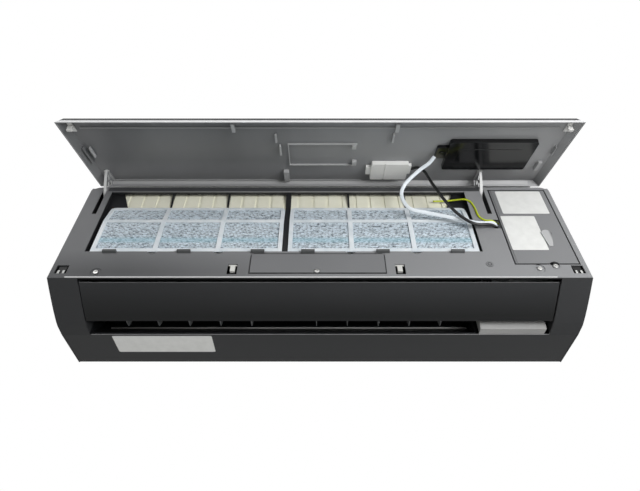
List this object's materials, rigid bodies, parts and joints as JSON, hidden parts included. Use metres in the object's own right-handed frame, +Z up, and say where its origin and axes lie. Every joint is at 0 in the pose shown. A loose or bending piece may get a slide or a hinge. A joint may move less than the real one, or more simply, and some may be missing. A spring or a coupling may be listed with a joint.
{
  "type": "wall air conditioner indoor unit",
  "caption": "Wall-mounted split air conditioner indoor unit with its front panel hinged up, pull-out filters, cross-flow fan, swinging outlet flap and linked vanes.",
  "frame": {"origin": "centre of the wall plate's back face, the face that lies on the wall", "axes": "+X along the unit to the right as seen from the room, +Y into the wall, +Z up"},
  "size_m": [1.082, 0.4366, 0.3925],
  "materials": {
    "zinc_steel": "satin zinc",
    "black_plastic": "fine matte",
    "charcoal_plastic": "satin moulded",
    "grey_plastic": "matte",
    "filter_frame": "satin translucent",
    "filter_mesh": "fine net",
    "coated_fin": "gold coated",
    "copper": "bare copper",
    "rubber": "matte",
    "dark_plastic": "satin",
    "board": "solder mask",
    "white_plastic": "satin",
    "screw_steel": "zinc",
    "white_sleeve": "satin",
    "black_sleeve": "satin",
    "earth_sleeve": "satin yellow and green"
  },
  "bodies": {
    "chassis": {"wall_plate": "zinc_steel", "rear_chassis": "black_plastic", "front_frame": "charcoal_plastic", "coil_front": "coated_fin", "coil_rear": "coated_fin", "coil_end_left": "copper", "coil_end_right": "copper", "fan_bearing": "rubber", "fan_motor": "zinc_steel", "outlet_duct": "dark_plastic", "vane_motor": "black_plastic", "flap_motor": "black_plastic", "outlet_block": "grey_plastic", "electrical_box": "zinc_steel", "control_board": "board", "terminal_block": "white_plastic", "electrical_cover": "charcoal_plastic", "centre_cover": "charcoal_plastic", "frame_screw_left": "screw_steel", "frame_screw_right": "screw_steel", "cover_screw": "screw_steel", "plate_screw": "screw_steel", "gas_pipe": "copper", "liquid_pipe": "copper", "catch_left": "black_plastic", "catch_right": "black_plastic", "hole_clip_left": "white_plastic", "hole_clip_right": "white_plastic", "display_cable": "white_sleeve", "module_cable": "black_sleeve", "earth_wire": "earth_sleeve"},
    "panel": {"front_panel": "charcoal_plastic", "hinge_arm_left": "charcoal_plastic", "hinge_arm_right": "charcoal_plastic", "display_box": "black_plastic", "sensor_module": "grey_plastic", "latch_left": "charcoal_plastic", "latch_right": "charcoal_plastic"},
    "filter_left": {"filter_frame_left": "filter_frame", "filter_mesh_left": "filter_mesh"},
    "filter_right": {"filter_frame_right": "filter_frame", "filter_mesh_right": "filter_mesh"},
    "fan": {"fan_wheel": "black_plastic"},
    "flap": {"outlet_flap": "dark_plastic"},
    "link_left": {"link_bar_left": "dark_plastic"},
    "link_right": {"link_bar_right": "dark_plastic"},
    "button": {"manual_button": "dark_plastic"},
    "vane_01": {"vane_01": "dark_plastic"},
    "vane_02": {"vane_02": "dark_plastic"},
    "vane_03": {"vane_03": "dark_plastic"},
    "vane_04": {"vane_04": "dark_plastic"},
    "vane_05": {"vane_05": "dark_plastic"},
    "vane_06": {"vane_06": "dark_plastic"},
    "vane_07": {"vane_07": "dark_plastic"},
    "vane_08": {"vane_08": "dark_plastic"},
    "vane_09": {"vane_09": "dark_plastic"},
    "vane_10": {"vane_10": "dark_plastic"}
  },
  "joints": [
    {"name": "panel_hinge", "type": "hinge", "parent": "chassis", "child": "panel", "pos_m": [0, -0.1694, 0.1467], "axis": [1, 0, 0], "range_deg": [0, 70.8], "deforming": ["display_cable", "module_cable"]},
    {"name": "flap_hinge", "type": "hinge", "parent": "chassis", "child": "flap", "pos_m": [0, -0.158, -0.131], "axis": [1, 0, 0], "range_deg": [0, 50]},
    {"name": "fan_spin", "type": "hinge", "parent": "chassis", "child": "fan", "pos_m": [0, -0.096, 0.001], "axis": [1, 0, 0], "continuous": true},
    {"name": "link_left_slide", "type": "slide", "parent": "chassis", "child": "link_left", "axis": [1, 0, 0], "range_m": [-0.01, 0.01]},
    {"name": "link_right_slide", "type": "slide", "parent": "chassis", "child": "link_right", "axis": [1, 0, 0], "range_m": [-0.0101, 0.0101]},
    {"name": "filter_left_slide", "type": "slide", "parent": "chassis", "child": "filter_left", "axis": [0, 1, 0], "range_m": [-0.12, 0]},
    {"name": "filter_right_slide", "type": "slide", "parent": "chassis", "child": "filter_right", "axis": [0, 1, 0], "range_m": [-0.12, 0]},
    {"name": "button_press", "type": "slide", "parent": "chassis", "child": "button", "axis": [0, 1, 0], "range_m": [0, 0.0012], "stiffness_N_per_m": 600},
    {"name": "vane_01_swing", "type": "hinge", "parent": "chassis", "child": "vane_01", "pos_m": [-0.41305, -0.16, -0.081], "axis": [0, 0, 1], "range_deg": [-30.5, 30.5]},
    {"name": "vane_02_swing", "type": "hinge", "parent": "chassis", "child": "vane_02", "pos_m": [-0.34655, -0.16, -0.081], "axis": [0, 0, 1], "range_deg": [-30.5, 30.5]},
    {"name": "vane_03_swing", "type": "hinge", "parent": "chassis", "child": "vane_03", "pos_m": [-0.28005, -0.16, -0.081], "axis": [0, 0, 1], "range_deg": [-30.5, 30.5]},
    {"name": "vane_04_swing", "type": "hinge", "parent": "chassis", "child": "vane_04", "pos_m": [-0.21355, -0.16, -0.081], "axis": [0, 0, 1], "range_deg": [-30.5, 30.5]},
    {"name": "vane_05_swing", "type": "hinge", "parent": "chassis", "child": "vane_05", "pos_m": [-0.14705, -0.16, -0.081], "axis": [0, 0, 1], "range_deg": [-30.5, 30.5]},
    {"name": "vane_06_swing", "type": "hinge", "parent": "chassis", "child": "vane_06", "pos_m": [-0.00755, -0.16, -0.081], "axis": [0, 0, 1], "range_deg": [-30.5, 30.5]},
    {"name": "vane_07_swing", "type": "hinge", "parent": "chassis", "child": "vane_07", "pos_m": [0.05895, -0.16, -0.081], "axis": [0, 0, 1], "range_deg": [-30.5, 30.5]},
    {"name": "vane_08_swing", "type": "hinge", "parent": "chassis", "child": "vane_08", "pos_m": [0.12545, -0.16, -0.081], "axis": [0, 0, 1], "range_deg": [-30.5, 30.5]},
    {"name": "vane_09_swing", "type": "hinge", "parent": "chassis", "child": "vane_09", "pos_m": [0.19195, -0.16, -0.081], "axis": [0, 0, 1], "range_deg": [-30.5, 30.5]},
    {"name": "vane_10_swing", "type": "hinge", "parent": "chassis", "child": "vane_10", "pos_m": [0.25845, -0.16, -0.081], "axis": [0, 0, 1], "range_deg": [-30.5, 30.5]}
  ],
  "couplings": [
    {"joint": "link_right_slide", "follows": "link_left_slide", "ratio": 1},
    {"joint": "vane_01_swing", "follows": "link_left_slide", "rad_per_m": 52.36},
    {"joint": "vane_02_swing", "follows": "link_left_slide", "rad_per_m": 52.36},
    {"joint": "vane_03_swing", "follows": "link_left_slide", "rad_per_m": 52.36},
    {"joint": "vane_04_swing", "follows": "link_left_slide", "rad_per_m": 52.36},
    {"joint": "vane_05_swing", "follows": "link_left_slide", "rad_per_m": 52.36},
    {"joint": "vane_06_swing", "follows": "link_left_slide", "rad_per_m": 52.36},
    {"joint": "vane_07_swing", "follows": "link_left_slide", "rad_per_m": 52.36},
    {"joint": "vane_08_swing", "follows": "link_left_slide", "rad_per_m": 52.36},
    {"joint": "vane_09_swing", "follows": "link_left_slide", "rad_per_m": 52.36},
    {"joint": "vane_10_swing", "follows": "link_left_slide", "rad_per_m": 52.36}
  ]
}
